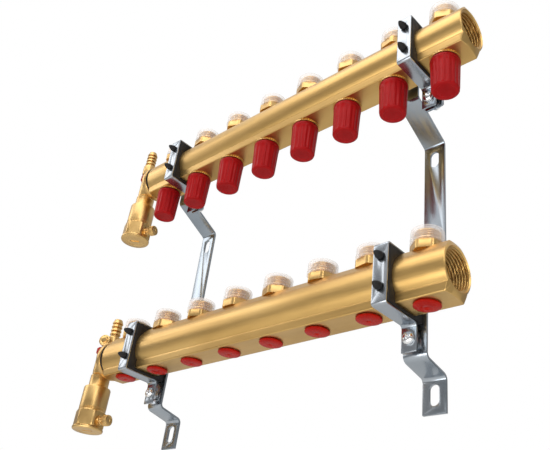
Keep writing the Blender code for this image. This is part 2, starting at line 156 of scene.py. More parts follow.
def turned_brass():
    """Lathe marks run round each piece's own axis."""
    look = Look("turned_brass", 0.36, 1.0, Coat_Weight=0.2, Coat_Roughness=0.4)
    rings = look.noise(5200, (0.004, 0.004, 1), 2)
    cloud = look.noise(60, (1, 1, 1), 3)
    look.colour(cloud, (0.30, (0.60, 0.37, 0.130)), (0.52, (0.68, 0.44, 0.165)),
                (0.78, (0.74, 0.51, 0.215)))
    look.rough(cloud, 0.31, 0.42)
    return look.bump(rings, 0.10, 0.0001).material


def moulded(name, dark, light, roughness, coat):
    look = Look(name, roughness, 0.0, Coat_Weight=coat, Coat_Roughness=0.10,
                Specular_IOR_Level=0.06)
    cloud = look.noise(90, (1, 1, 0.5), 4)
    look.colour(cloud, (0.30, dark), (0.72, light))
    look.rough(look.noise(420), roughness - 0.05, roughness + 0.08)
    return look.bump(look.noise(1500), 0.08, 0.0001).material


def zinc():
    look = Look("zinc_plate", 0.24, 1.0)
    cloud = look.noise(16, (1, 1, 0.5), 2)
    look.colour(cloud, (0.28, (0.29, 0.33, 0.37)), (0.50, (0.37, 0.41, 0.45)),
                (0.75, (0.46, 0.48, 0.51)))
    look.rough(cloud, 0.19, 0.28)
    return look.bump(look.noise(55, (1, 1, 0.6), 2), 0.03, 0.0002).material


def bright_zinc():
    look = Look("bright_zinc", 0.22, 1.0)
    cloud = look.noise(160, (1, 1, 1), 2)
    look.colour(cloud, (0.30, (0.74, 0.74, 0.75)), (0.72, (0.88, 0.88, 0.87)))
    return look.rough(cloud, 0.16, 0.24).material


def rubber():
    look = Look("rubber", 0.55, 0.0, Specular_IOR_Level=0.3)
    cloud = look.noise(120)
    look.colour(cloud, (0.3, (0.006, 0.006, 0.007)), (0.8, (0.016, 0.015, 0.015)))
    look.rough(cloud, 0.46, 0.68)
    return look.bump(look.noise(900), 0.20, 0.0002).material


def frosted():
    look = Look("frosted_cap", 0.24, 0.0, Specular_IOR_Level=0.5)
    cloud = look.noise(70, (1, 1, 0.4), 3)
    look.colour(cloud, (0.3, (0.97, 0.88, 0.83)), (0.7, (0.99, 0.94, 0.91)))
    look.rough(cloud, 0.18, 0.32)
    return look.see_through(0.10, 0.50).material


EXTRUDED, TURNED, ZINC, BRIGHT, RUBBER, FROSTED = (
    extruded_brass(), turned_brass(), zinc(), bright_zinc(), rubber(), frosted())
RED_CAP = moulded("red_cap", (0.26, 0.004, 0.005), (0.35, 0.008, 0.009), 0.30, 0.05)
RED_PLUG = moulded("red_plug", (0.30, 0.004, 0.001), (0.39, 0.009, 0.002), 0.24, 0.10)


# ---- outlines -------------------------------------------------------------------------
def arc(centre, radius, start, end, steps):
    return [(centre[0] + radius * cos(radians(start + (end - start) * k / steps)),
             centre[1] + radius * sin(radians(start + (end - start) * k / steps)))
            for k in range(steps + 1)]


def fillet(points, radius, closed=False, steps=3):
    """Round each corner sharper than 20 degrees, keeping clear of its neighbours."""
    points = [Vector(p) for p in points]
    count = len(points)
    out = []
    for k, corner in enumerate(points):
        if not closed and k in (0, count - 1):
            out.append(tuple(corner))
            continue
        back, ahead = points[k - 1] - corner, points[(k + 1) % count] - corner
        turn = pi - back.angle(ahead)
        if turn < radians(20):
            out.append(tuple(corner))
            continue
        reach = min(radius, back.length * 0.45, ahead.length * 0.45)
        start, stop = corner + back.normalized() * reach, corner + ahead.normalized() * reach
        for j in range(steps + 1):
            t = j / steps
            spot = start * (1 - t) ** 2 + corner * 2 * t * (1 - t) + stop * t ** 2
            out.append(tuple(spot))
    return out


def dense(points, step):
    """Split the long edges of a closed outline."""
    out = []
    for here, there in zip(points, points[1:] + points[:1]):
        a, b = Vector(here), Vector(there)
        pieces = max(1, round((b - a).length / step))
        out += [tuple(a.lerp(b, k / pieces)) for k in range(pieces)]
    return out


# ---- meshes ---------------------------------------------------------------------------
SHARP, BAR_SHARP = 32, 50      # degrees between faces that keep a hard edge


def to_mesh(name, bm, sharp=SHARP):
    bmesh.ops.recalc_face_normals(bm, faces=bm.faces)
    mesh = bpy.data.meshes.new(name)
    bm.to_mesh(mesh)
    bm.free()
    mesh.shade_smooth()
    mesh.set_sharp_from_angle(angle=radians(sharp))
    return mesh


def revolve(name, profile, segments=64, shape=None, transform=None, bm=None):
    """Turn (radius, height) points about Z; shape(r, z, angle) may move each point."""
    own = bm is None
    bm = bm or bmesh.new()
    rings, made = [], []
    for radius, height in profile:
        if radius == 0:
            rings.append([bm.verts.new((0, 0, height))])
        else:
            ring = []
            for k in range(segments):
                angle = 2 * pi * k / segments
                r, z = shape(radius, height, angle) if shape else (radius, height)
                ring.append(bm.verts.new((r * cos(angle), r * sin(angle), z)))
            rings.append(ring)
        made += rings[-1]
    for low, high in zip(rings, rings[1:]):
        for k in range(segments):
            after = (k + 1) % segments
            corners = list(dict.fromkeys([low[k % len(low)], low[after % len(low)],
                                          high[after % len(high)], high[k % len(high)]]))
            if len(corners) > 2:
                bm.faces.new(corners)
    if rings[0] is not rings[-1] and len(rings[0]) > 1 and len(rings[-1]) > 1:
        for k in range(segments):  # a ring of material: join its last ring to its first
            after = (k + 1) % segments
            bm.faces.new([rings[-1][k], rings[-1][after], rings[0][after], rings[0][k]])
    if transform is not None:
        bmesh.ops.transform(bm, matrix=transform, verts=made)
    return to_mesh(name, bm) if own else bm


def extrude(name, outline, low, high, transform=None, bm=None):
    own = bm is None
    bm = bm or bmesh.new()
    bottom = [bm.verts.new((u, v, low)) for u, v in outline]
    top = [bm.verts.new((u, v, high)) for u, v in outline]
    bm.faces.new(bottom[::-1])
    bm.faces.new(top)
    for k in range(len(outline)):
        after = (k + 1) % len(outline)
        bm.faces.new([bottom[k], bottom[after], top[after], top[k]])
    if transform is not None:
        bmesh.ops.transform(bm, matrix=transform, verts=bottom + top)
    return to_mesh(name, bm) if own else bm


def add_to_scene(name, data):
    thing = bpy.data.objects.new(name, data)
    bpy.context.scene.collection.objects.link(thing)
    return thing


def piece(name, mesh, look, node, location=(0, 0, 0), rotation=(0, 0, 0), replaces=True):
    """A finished piece that moves with a CAD node's body and stands for that node."""
    thing = add_to_scene(name, mesh)
    if not mesh.materials:
        mesh.materials.append(look)
    thing.location = location
    thing.rotation_euler = rotation
    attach(thing, BODY_OF[node])
    if replaces:
        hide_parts(node)
    return thing


def carve(name, mesh, tool, operation="DIFFERENCE"):
    """The mesh with a Boolean applied."""
    body, cutter = add_to_scene(name + "_body", mesh), add_to_scene(name + "_tool", tool)
    modifier = body.modifiers.new("carve", "BOOLEAN")
    modifier.operation = operation
    modifier.solver = "EXACT"
    modifier.object = cutter
    return settle(name, body, cutter)


def settle(name, body, *others):
    graph = bpy.context.evaluated_depsgraph_get()
    graph.update()
    made = bpy.data.meshes.new_from_object(body.evaluated_get(graph))
    made.name = name
    for thing in (body, *others):
        bpy.data.objects.remove(thing)
    made.shade_smooth()
    made.set_sharp_from_angle(angle=radians(SHARP))
    return made


def soften(name, mesh, width, segments=2):
    """The mesh with its sharp edges broken."""
    body = add_to_scene(name + "_body", mesh)
    modifier = body.modifiers.new("soften", "BEVEL")
    modifier.width = width
    modifier.segments = segments
    modifier.limit_method = "ANGLE"
    modifier.angle_limit = radians(40)
    modifier.use_clamp_overlap = True
    return settle(name, body)


def from_flat(angle):
    """Angle from the middle of the nearest flat of a hexagon."""
    return (angle + pi / 6) % (pi / 3) - pi / 6


def wave(position):
    """Triangle wave 0..1..0 with flattened crests."""
    t = position - floor(position)
    return min(1.0, max(0.0, (abs(2 * t - 1) - 0.12) / 0.76))


def thread(radius, depth, pitch, start, stop, run_out, hand=1):
    """A shape function: cuts a helical groove between two heights, fading at both ends."""
    def shape(r, z, angle):
        if abs(r - radius) > 1e-6 or not start <= z <= stop:
            return r, z
        fade = min(1.0, (z - start) / run_out, (stop - z) / run_out)
        return r - depth * fade * wave(z / pitch - hand * angle / (2 * pi)), z
    return shape


def threaded_wall(radius, start, stop, pitch, per_turn=8):
    count = max(2, round(abs(stop - start) / pitch * per_turn))
    return [(radius, start + (stop - start) * k / count) for k in range(count + 1)]


# ---- where things are -----------------------------------------------------------------
class Run:
    """One bar: its axis, its two ends, and the things that hang on it."""

    def __init__(self, name):
        low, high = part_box(name + "_bar")
        self.name = name
        self.bar = name + "_bar"
        self.left, self.right = low.x, high.x
        self.y, self.z = (low.y + high.y) / 2, high.z - NIPPLE_TOP
        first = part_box(f"{self.valve}_1")
        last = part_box(f"{self.valve}_8")
        begin, end = (first[0].x + first[1].x) / 2, (last[0].x + last[1].x) / 2
        self.spots = [begin + (end - begin) * k / 7 for k in range(8)]

    @property
    def valve(self):
        return {"supply": "supply_plug", "return": "return_cap"}[self.name]


SUPPLY, RETURN = Run("supply"), Run("return")
RUNS = (SUPPLY, RETURN)


# ---- bars -----------------------------------------------------------------------------
def section(grow=0.0):
    """The bar's outline: top flat, sloping shoulders, oval sides, ridge and foot."""
    width, height, foot = BAR_HALF_WIDTH + grow, BAR_HALF_HEIGHT + grow, -BAR_FOOT - grow
    side = [(y * width, z * height) for y, z in arc((0, 0), 1, 43, -44, 44)]
    half = [(0.0, height), (0.0080, height)] + side
    half += [(0.0134 + grow, -0.0150), (0.0126 + grow, foot)]
    return half + [(0.0, foot)] + [(-y, z) for y, z in half[:0:-1]]


def bar_mesh(run):
    """One skin: round the outside, over the turned ends and back through the bore."""
    outline = dense(fillet(section(), 0.0007, True, 3), 0.0009)
    polar = [(Vector(p).length, Vector(p).normalized()) for p in outline]
    mouth, slope = 0.0173, 2.20        # radius at the end face, radius per depth behind it
    edge, chamfer = 0.0004, 0.0011     # broken outer edge, bevel into the thread
    minor, depth, deep = 0.0152, 0.0014, 0.0165
    rings = []

    def ring(side, spots):
        rings.append([(run.left + x if side < 0 else run.right - x, r * d.x, r * d.y)
                      for (x, r), (_, d) in zip(spots, polar)])

    def end(side, order):
        layers = [[(0.0110, r) for r, _ in polar], [(0.0042, r) for r, _ in polar],
                  [(max(0.0, (r - mouth) / slope) + edge, r) for r, _ in polar],
                  [(max(0.0, (r - edge - mouth) / slope), max(mouth, r - edge))
                   for r, _ in polar],
                  [(0.0, mouth)] * len(polar), [(chamfer, minor + depth)] * len(polar)]
        steps = 96 if side > 0 else 6   # the left thread is hidden behind the flange
        for k in range(1, steps + 1):
            x = chamfer + (deep - chamfer) * k / steps
            layer = []
            for _, d in polar:
                angle = Vector((1, 0)).angle_signed(d, 0.0)
                groove = 0.5 - 0.5 * cos(2 * pi * x / G_ONE_PITCH + angle)
                fade = min(1.0, (deep - x) / 0.0015)
                layer.append((x, minor + depth * (1 - fade * groove if side > 0 else 0.5)))
            layers.append(layer)
        layers += [[(0.0170, 0.0158)] * len(polar), [(0.0176, 0.0140)] * len(polar)]
        for layer in layers if order > 0 else layers[::-1]:
            ring(side, layer)

    end(1, 1)
    end(-1, -1)
    bm = bmesh.new()
    grid = [[bm.verts.new(p) for p in points] for points in rings]
    for low, high in zip(grid, grid[1:] + grid[:1]):
        for k in range(len(low)):
            after = (k + 1) % len(low)
            bm.faces.new([low[k], low[after], high[after], high[k]])
    mesh = to_mesh(run.bar + "_skin", bm, BAR_SHARP)
    for vertex in mesh.vertices:
        vertex.co.y += run.y
        vertex.co.z += run.z
    reach, middle, stem_hole, plug_hole, seat = 0.0300, 0.0001, 0.0031, 0.0062, 0.0050
    if run is SUPPLY:
        wall = [(0, -reach), (plug_hole, -reach), (plug_hole, -0.0170), (seat, -0.0170),
                (seat, middle)]
    else:
        wall = [(0, -reach), (stem_hole, -reach), (stem_hole, middle)]
    wall += [(OUTLET_BORE, middle), (OUTLET_BORE, reach), (0, reach)]
    turn = Matrix.Rotation(0.037, 4, "Z")  # keeps the holes' corners off the bar's own
    holes = bmesh.new()
    for x in run.spots:
        revolve("", wall, 30, transform=Matrix.Translation((x, run.y, run.z)) @ turn, bm=holes)
    return carve(run.bar + "_skin", mesh, to_mesh("holes", holes))


def nipple_mesh():
    """Threaded outlet with its hexagonal foot, standing on the bar."""
    foot, start, stop = 0.0124, 0.0285, 0.0352
    outer = [(OUTLET_BORE, 0.0190), (foot, 0.0190), (foot, 0.0196), (foot, 0.0256),
             (0.0119, 0.0264), (0.0096, 0.0266), (0.0094, 0.0276), (NIPPLE_THREAD, 0.0284)]
    outer += threaded_wall(NIPPLE_THREAD, start, stop, G_HALF_PITCH, 10)
    outer += [(0.0098, NIPPLE_TOP), (0.0078, NIPPLE_TOP), (OUTLET_BORE, stop),
              (OUTLET_BORE, 0.0300)]
    cut = thread(NIPPLE_THREAD, 0.0011, G_HALF_PITCH, start, stop, 0.0008)

    def shape(r, z, angle):
        if r > 0.0110:
            widened = min(r * 1.06, 0.0118 / cos(from_flat(angle)))
            return widened - (foot - r), z
        return cut(r, z, angle)

    return revolve("nipple", outer, 96, shape)


def outlet_cap_mesh():
    """Thin protective cap pushed over the outlet: two ribs, wide body, rounded top."""
    outer = [(0.0126, 0.0262), (0.0131, 0.0265), (0.0131, 0.0272), (0.0127, 0.0276),
             (0.0127, 0.0290), (0.0131, 0.0294), (0.0131, 0.0300), (0.0127, 0.0304)]
    outer += arc((0.0106, 0.0362), 0.0021, 0, 90, 8) + [(0.0070, 0.0384)]
    outer += [(0.0062, 0.0380), (0, 0.0380)]
    inner = [(0, 0.0371), (0.0102, 0.0371), (0.0116, 0.0358), (0.0118, 0.0262)]
    return revolve("outlet_cap", outer + inner, 72)


def collar_mesh():
    """Knurled ring between the return bar and its hand cap."""
    outer = fillet([(0.0100, -0.0200), (0.0129, -0.0200), (0.0129, -0.0226),
                    (0.0100, -0.0226)], 0.0004, True, 2)

    def shape(r, z, angle):
        return r - (0.00025 * (1 + cos(36 * angle)) if r > 0.0127 else 0.0), z

    return revolve("collar", outer, 144, shape)


def hand_cap_mesh():
    """Tall moulded cap: smooth top band, broad shallow flutes, rounded closed end."""
    profile = [(0.0031, -0.0330), (0.0031, -0.0229), (0.0112, -0.0229), (0.0120, -0.0232),
               (0.0125, -0.0240), (0.0125, -0.0256), (0.0122, -0.0258), (0.0122, -0.0262),
               (0.0124, -0.0264), (0.0124, -0.0274)]
    profile += [(0.0123 - 0.0008 * k / 10, -0.0280 - 0.0246 * k / 10) for k in range(11)]
    profile += [(0.0114, -0.0534), (0.0111, -0.0541), (0.0106, -0.0546), (0.0098, -0.0549),
                (0.0090, -0.0550), (0.0076, -0.0550), (0.0073, -0.0547), (0, -0.0547)]
    flutes = 16

    def shape(r, z, angle):
        grip = min(1.0, max(0.0, (-0.0276 - z) / 0.0010), max(0.0, (z + 0.0540) / 0.0014))
        if r < 0.0105 or grip <= 0:
            return r, z
        return r - 0.00052 * grip * (0.5 + 0.5 * cos(flutes * angle)) ** 1.5, z

    return revolve("hand_cap", [(0, -0.0330)] + profile, 160, shape)


def plug_mesh():
    """Low bevelled cover with a dimple, and the stub that fills the valve's mouth."""
    profile = [(0, -0.0188), (0.0054, -0.0188), (0.0054, -0.0218), (0.0096, -0.0218),
               (0.0101, -0.0220), (0.0102, -0.0225), (0.0101, -0.0230), (0.0097, -0.0233),
               (0.0090, -0.0236), (0.0078, -0.0239), (0.0060, -0.0241), (0.0030, -0.0241),
               (0.0017, -0.0240), (0.0013, -0.0236), (0, -0.0235)]
    return revolve("plug_cover", profile, 72)


def bars():
    nipple, cover, collar = nipple_mesh(), outlet_cap_mesh(), collar_mesh()
    cap, plug = hand_cap_mesh(), plug_mesh()
    for run in RUNS:
        piece(run.bar + "_skin", bar_mesh(run), EXTRUDED, run.bar)
        for k, x in zip(CIRCUITS, run.spots):
            spot = (x, run.y, run.z)
            turn = (0, 0, radians(9 + 11 * (k * 3 % 5)))
            piece(f"nipple_{run.name}_{k}", nipple, TURNED, run.bar, spot, turn, False)
            piece(f"outlet_cap_{run.name}_{k}", cover, FROSTED, run.bar, spot, (0, 0, 0), False)
            if run is RETURN:
                piece(f"cap_ring_{k}", collar, TURNED, run.bar, spot, (0, 0, 0), False)
                piece(f"hand_cap_{k}", cap, RED_CAP, f"return_cap_{k}", spot,
                      (0, 0, radians(7 * k)))
            else:
                piece(f"plug_cover_{k}", plug, RED_PLUG, f"supply_plug_{k}", spot)
    for k in CIRCUITS:
        for node in (f"return_spindle_{k}", f"supply_spindle_{k}"):
            frame["nodes"][node].data.materials.clear()
            frame["nodes"][node].data.materials.append(TURNED)


# ---- brackets and clamps --------------------------------------------------------------
def ribbon(path, thick, bends, steps=10):
    points = [Vector(p) for p in path]
    line = [points[0]]
    for before, corner, after, bend in zip(points, points[1:], points[2:], bends):
        back, onward = (before - corner).normalized(), (after - corner).normalized()
        half = back.angle(onward) / 2
        reach = bend / sin(half) * cos(half)
        inner = corner + (back + onward).normalized() * (bend / sin(half))
        start, stop = corner + back * reach, corner + onward * reach
        for k in range(steps + 1):
            spoke = (start - inner).normalized().slerp((stop - inner).normalized(), k / steps)
            line.append(inner + spoke * bend)
    line.append(points[-1])
    left, right = [], []
    for k, point in enumerate(line):
        ahead = line[min(k + 1, len(line) - 1)] - line[max(k - 1, 0)]
        side = Vector((-ahead.y, ahead.x)).normalized() * thick / 2
        left.append(tuple(point + side))
        right.append(tuple(point - side))
    return left + right[::-1]


SUPPLY_SEAT, RETURN_SEAT, PLATE = -0.0288, -0.0455, 0.002  # y of each seat, plate thickness
SEATS = {SUPPLY: SUPPLY_SEAT, RETURN: RETURN_SEAT}
STRIP_HALF, LUG_HALF = 0.0100, 0.0085
SLOT_WIDTH, SLOT_LENGTH = 0.0085, 0.0165
LOWER_SLOT, UPPER_SLOT = -0.0675, 0.1487
BOLT_DROP, HOOK_RISE = 0.0365, 0.0275
BOLT_HOLE = 0.0028
PLATE_BEND, PLATE_EDGE, STRAP_EDGE = 0.0045, 0.0005, 0.00035


def slot_outline(height):
    half = (SLOT_LENGTH - SLOT_WIDTH) / 2
    return (arc((0, height + half), SLOT_WIDTH / 2, 0, 180, 20)
            + arc((0, height - half), SLOT_WIDTH / 2, 180, 360, 20))


def bracket_mesh():
    deep = PLATE / 2
    low, high = SUPPLY_SEAT + deep, RETURN_SEAT + deep
    top = RETURN.z + 0.0400
    path = [(-deep, -0.0820), (-deep, -0.0540), (low, -0.0487), (low, 0.0400),
            (-deep, 0.0540), (-deep, 0.1640), (high, 0.1865), (high, top)]
    strip = extrude("strip", ribbon(path, PLATE, [PLATE_BEND] * 6), -STRIP_HALF, STRIP_HALF,
                    ALONG_X)
    shift = RETURN.left - SUPPLY.left
    inner, outer, skin = shift - LUG_HALF, shift + LUG_HALF, 0.000003
    under = RETURN.z - BOLT_DROP - 0.0060
    lug = [(0.0060, RETURN.z - 0.0060), (inner, RETURN.z - 0.0060), (inner, under),
           (outer, under), (outer, top - 0.00001), (0.0060, top - 0.00001)]
    plate = extrude("lug", fillet(lug, 0.0020, True, 5), -RETURN_SEAT - PLATE + skin,
                    -RETURN_SEAT - skin, ALONG_Y)
    holes = bmesh.new()
    for height in (LOWER_SLOT, UPPER_SLOT):
        extrude("", slot_outline(height), -0.010, 0.010, ALONG_Y, holes)
    for across, (run, seat) in zip((0, shift), SEATS.items()):
        near, far = -seat - 0.006, -seat + 0.006
        extrude("", arc((across, run.z - BOLT_DROP), BOLT_HOLE, 0, 345, 23), near, far,
                ALONG_Y, holes)
        level = run.z + HOOK_RISE
        window = [(across - 0.0069, level - 0.0030), (across + 0.0069, level - 0.0030),
                  (across + 0.0069, level + 0.0014), (across - 0.0069, level + 0.0014)]
        extrude("", window, near, far, ALONG_Y, holes)
    joined = carve("bracket", strip, plate, "UNION")
    return soften("bracket", carve("bracket", joined, to_mesh("holes", holes)), PLATE_EDGE)


STRAP_FRONT, STRAP_UNDER, STRAP_OVER = -0.0228, -0.0250, 0.0243
EAR_BACK, STRAP_THICK, STRAP_HALF, GAP = 0.0160, 0.0015, 0.0065, 0.0003
STUDS = (0.0135, -0.0115)
STUD_HOLE = 0.0027


def strap_mesh(run, seat):
    behind = seat - run.y + PLATE + 0.0012
    hook = HOOK_RISE - STRAP_THICK / 2
    path = [(EAR_BACK, -0.0470), (EAR_BACK, STRAP_UNDER), (STRAP_FRONT, STRAP_UNDER),
            (STRAP_FRONT, STRAP_OVER), (behind - 0.012, STRAP_OVER),
            (behind - 0.005, hook), (behind + 0.001, hook), (behind + 0.001, hook - 0.007)]
    bends = (0.0035, 0.0016, 0.0016, 0.0016, 0.0016, 0.0016)
    body = extrude("strap", ribbon(path, STRAP_THICK, bends), -STRAP_HALF, STRAP_HALF,
                   ALONG_X)
    holes = bmesh.new()
    for height in STUDS:
        extrude("", arc((0, height), STUD_HOLE, 0, 345, 23), -STRAP_FRONT - 0.003,
                -STRAP_FRONT + 0.003, ALONG_Y, holes)
    extrude("", arc((0, -BOLT_DROP), BOLT_HOLE, 0, 345, 23), -EAR_BACK - 0.003,
            -EAR_BACK + 0.003, ALONG_Y, holes)
    return soften("strap", carve("strap", body, to_mesh("holes", holes)), STRAP_EDGE)


def liner_mesh(run, seat):
    """Square outside, the bar's own shape inside, reaching a little past the strap at both edges."""
    front = STRAP_FRONT + STRAP_THICK / 2 + GAP
    under = STRAP_UNDER + STRAP_THICK / 2 + GAP
    over = STRAP_OVER - STRAP_THICK / 2 - GAP
    back = seat - run.y - GAP
    half = STRAP_HALF + 0.0006
    ring = [(front, under), (back, under), (back, over), (front, over)]
    body = extrude("liner", fillet(ring, 0.0022, True, 5), -half, half, ALONG_X)
    core = extrude("core", dense(section(0.0001), 0.002), -half - 0.002, half + 0.002, ALONG_X)
    return soften("liner", carve("liner", body, core), 0.0003)


def stud_mesh():
    """Pointed rubber stud that holds the liner in the strap."""
    front = -STRAP_FRONT - STRAP_THICK / 2 - GAP
    profile = [(0, front - 0.0005), (0.0022, front - 0.0005), (0.0023, front + 0.0018),
               (0.0031, front + 0.0022), (0.0033, front + 0.0032), (0.0031, front + 0.0046),
               (0.0026, front + 0.0062), (0.0019, front + 0.0078), (0.0012, front + 0.0090),
               (0.0006, front + 0.0096), (0, front + 0.0098)]
    return revolve("stud", profile, 40)


SCREW_RADIUS, SCREW_PITCH = 0.00245, 0.0008
NUT_ACROSS, NUT_THICK, SPACER_THICK, SPACER_ROOM = 0.0078, 0.0034, 0.0050, 0.0052


def screw_mesh():
    """Pan head with a cross recess; the thread runs on to the nut."""
    profile = [(0, 0.0033), (0.0014, 0.0033), (0.0030, 0.0030), (0.0042, 0.0023),
               (0.0048, 0.0014), (0.0050, 0.0006), (0.0049, 0.0), (0.0024, 0.0)]
    step = 0.0004
    profile += [(SCREW_RADIUS, -step * k) for k in range(1, 37)]
    length = -profile[-1][1]
    profile += [(0.0019, -length - 0.0006), (0, -length - 0.0006)]
    mesh = revolve("screw", profile, 48, thread(SCREW_RADIUS, 0.00035, SCREW_PITCH, -length,
                                                -step, step))
    blade_half = 0.00055
    for turn in (0.3, 0.3 + pi / 2):
        blade = [(-0.0029, 0.0040), (-0.0015, 0.0017), (0.0015, 0.0017), (0.0029, 0.0040)]
        upright = Matrix.Rotation(turn, 4, "Z") @ Matrix.Rotation(pi / 2, 4, "X")
        mesh = carve("screw", mesh, extrude("blade", blade, -blade_half, blade_half, upright))
    return soften("screw", mesh, 0.00008, 1)


def nut_mesh(thick):
    """Hexagon with its corners chamfered by a lathe cone."""
    face, corner, hole = NUT_ACROSS * 0.52, NUT_ACROSS * 0.58, 0.0022
    profile = [(hole, 0.0), (face, 0.0), (corner, 0.0004), (corner, thick - 0.0004),
               (face, thick), (hole, thick)]

    def shape(r, z, angle):
        flat = NUT_ACROSS / 2 / cos(from_flat(angle))
        return (min(r, flat) if r > 0.003 else r), z

    return revolve("nut", profile, 72, shape)


def brackets():
    bracket, stud, screw = bracket_mesh(), stud_mesh(), screw_mesh()
    nut, spacer = nut_mesh(NUT_THICK), nut_mesh(SPACER_THICK)
    forward = (pi / 2, 0, 0)
    straps = {run: strap_mesh(run, seat) for run, seat in SEATS.items()}
    liners = {run: liner_mesh(run, seat) for run, seat in SEATS.items()}
    for side in ("left", "right"):
        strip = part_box("bracket_" + side)[0].x + STRIP_HALF  # the lug is to the right of it
        piece("plate_" + side, bracket, ZINC, "bracket_" + side, (strip, 0, 0))
        for run, seat in SEATS.items():
            label = f"{run.name}_{side}"
            low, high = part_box("clamp_strap_" + label)
            spot = ((low.x + high.x) / 2, run.y, run.z)
            piece("strap_" + label, straps[run], ZINC, "clamp_strap_" + label, spot)
            liner = "clamp_liner_" + label
            piece("liner_" + label, liners[run], RUBBER, liner, spot)
            for k, height in enumerate(STUDS):
                piece(f"stud_{label}_{k}", stud, RUBBER, liner,
                      (spot[0], run.y, run.z + height), forward, False)
            bolt = "clamp_bolt_" + label
            front = run.y + EAR_BACK - STRAP_THICK / 2 - GAP
            back = run.y + EAR_BACK + STRAP_THICK / 2
            level = run.z - BOLT_DROP
            piece("screw_" + label, screw, BRIGHT, bolt, (spot[0], front, level), forward)
            piece("nut_" + label, nut, BRIGHT, bolt,
                  (spot[0], seat + PLATE + GAP + NUT_THICK, level), forward, False)
            if seat - back > SPACER_ROOM:
                piece("spacer_" + label, spacer, BRIGHT, bolt,
                      (spot[0], back + SPACER_ROOM, level), forward, False)


# ---- end pieces, drains and air vents -------------------------------------------------
TEE_OFFSET = 0.0215            # the tee's axis beyond the bar's end
BARB_OFFSET = 0.0045           # the hose barb's axis beside the tee's
KNOB_HEIGHT = 0.0222           # the drain handle's axis above the bar's


def flange_mesh():
    profile = [(0, -0.0150), (0.0088, -0.0150), (0.0091, -0.0130), (0.0096, -0.0112),
               (0.0112, -0.0096), (0.0140, -0.0086), (0.0180, -0.0080), (0.0194, -0.0076),
               (0.0200, -0.0066), (0.0200, -0.0018), (0.0197, -0.0013), (0.0186, -0.0011),
               (0.0182, -0.0008), (0.0176, -0.0004), (0.0162, -0.0003), (0.0162, 0.0130),
               (0.0120, 0.0130), (0.0120, 0.0020), (0, 0.0020)]
    return revolve("flange", profile, 96, transform=ALONG_X)


def tee_mesh():
    profile = [(0, -0.0137), (0.0082, -0.0137), (0.0091, -0.0129), (0.0092, -0.0110),
               (0.0094, -0.0100), (0.0094, 0.0078), (0.0092, 0.0088), (0.0086, 0.0097),
               (0, 0.0097)]
    return revolve("tee", profile, 64)


def wheel_mesh():
    """Red ring with a scalloped grip."""
    profile = [(0.0062, 0.0100), (0.0100, 0.0100), (0.0108, 0.0103), (0.0112, 0.0109),
               (0.0112, 0.0146), (0.0108, 0.0152), (0.0098, 0.0155), (0.0062, 0.0155)]

    def shape(r, z, angle):
        return r - (0.0004 * (1 + cos(18 * angle)) / 2 if r > 0.0105 else 0.0), z

    return revolve("wheel", profile, 144, shape)


def elbow_mesh():
    """In its own frame: knob along +X, hose barb beside the swivel axis towards +Y."""
    foot = [(0, 0.0057), (0.0054, 0.0057), (0.0054, 0.0160), (0.0062, 0.0159),
            (0.0066, 0.0163), (0.0066, 0.0226), (0.0062, 0.0233), (0.0052, 0.0236),
            (0, 0.0236)]
    shank = [(0, 0.0171), (0.0060, 0.0171), (0.0067, 0.0178), (0.0068, 0.0184),
             (0.0068, 0.0282), (0.0066, 0.0290), (0.0060, 0.0300), (0.0052, 0.0306),
             (0.0046, 0.0310), (0.0045, 0.0324)]
    first, apart = 0.0330, 0.0043
    for k in range(4):
        base = first + apart * k
        shank += [(0.0055, base - 0.0003), (0.0058, base + 0.0001), (0.0057, base + 0.0006),
                  (0.0046, base + 0.0034), (0.0043, base + 0.0039)]
    shank += [(0.0043, 0.0502), (0.0041, 0.0505), (0, 0.0505)]
    offset = Matrix.Translation((0, BARB_OFFSET, 0))
    mesh = carve("elbow", revolve("foot", foot, 56),
                 revolve("shank", shank, 58, transform=offset), "UNION")
    boss = [(0, 0.0010), (0.0048, 0.0010), (0.0048, 0.0066), (0.0044, 0.0072), (0, 0.0072)]
    side = Matrix.Translation((0, 0, KNOB_HEIGHT)) @ Matrix.Rotation(pi / 2, 4, "Y")
    mesh = carve("elbow", mesh, revolve("boss", boss, 50, transform=side), "UNION")
    bore = revolve("bore", [(0, 0.0240), (0.0030, 0.0240), (0.0030, 0.0498), (0.0035, 0.0512),
                            (0, 0.0512)], 40, transform=offset)
    return carve("elbow", mesh, bore)


def drain_knob_mesh():
    """Small round handle: fluted rim, dished face with a centre screw."""
    profile = [(0, 0.0075), (0.0053, 0.0075), (0.0059, 0.0077), (0.0062, 0.0082),
               (0.0062, 0.0116), (0.0060, 0.0124), (0.0054, 0.0129), (0.0048, 0.0130),
               (0.0042, 0.0125), (0.0030, 0.0122), (0.0026, 0.0124), (0.0024, 0.0130),
               (0.0010, 0.0131), (0, 0.0131)]

    def shape(r, z, angle):
        return r - (0.0002 * (1 + cos(24 * angle)) if r > 0.0061 else 0.0), z

    return revolve("drain_knob", profile, 120, shape)


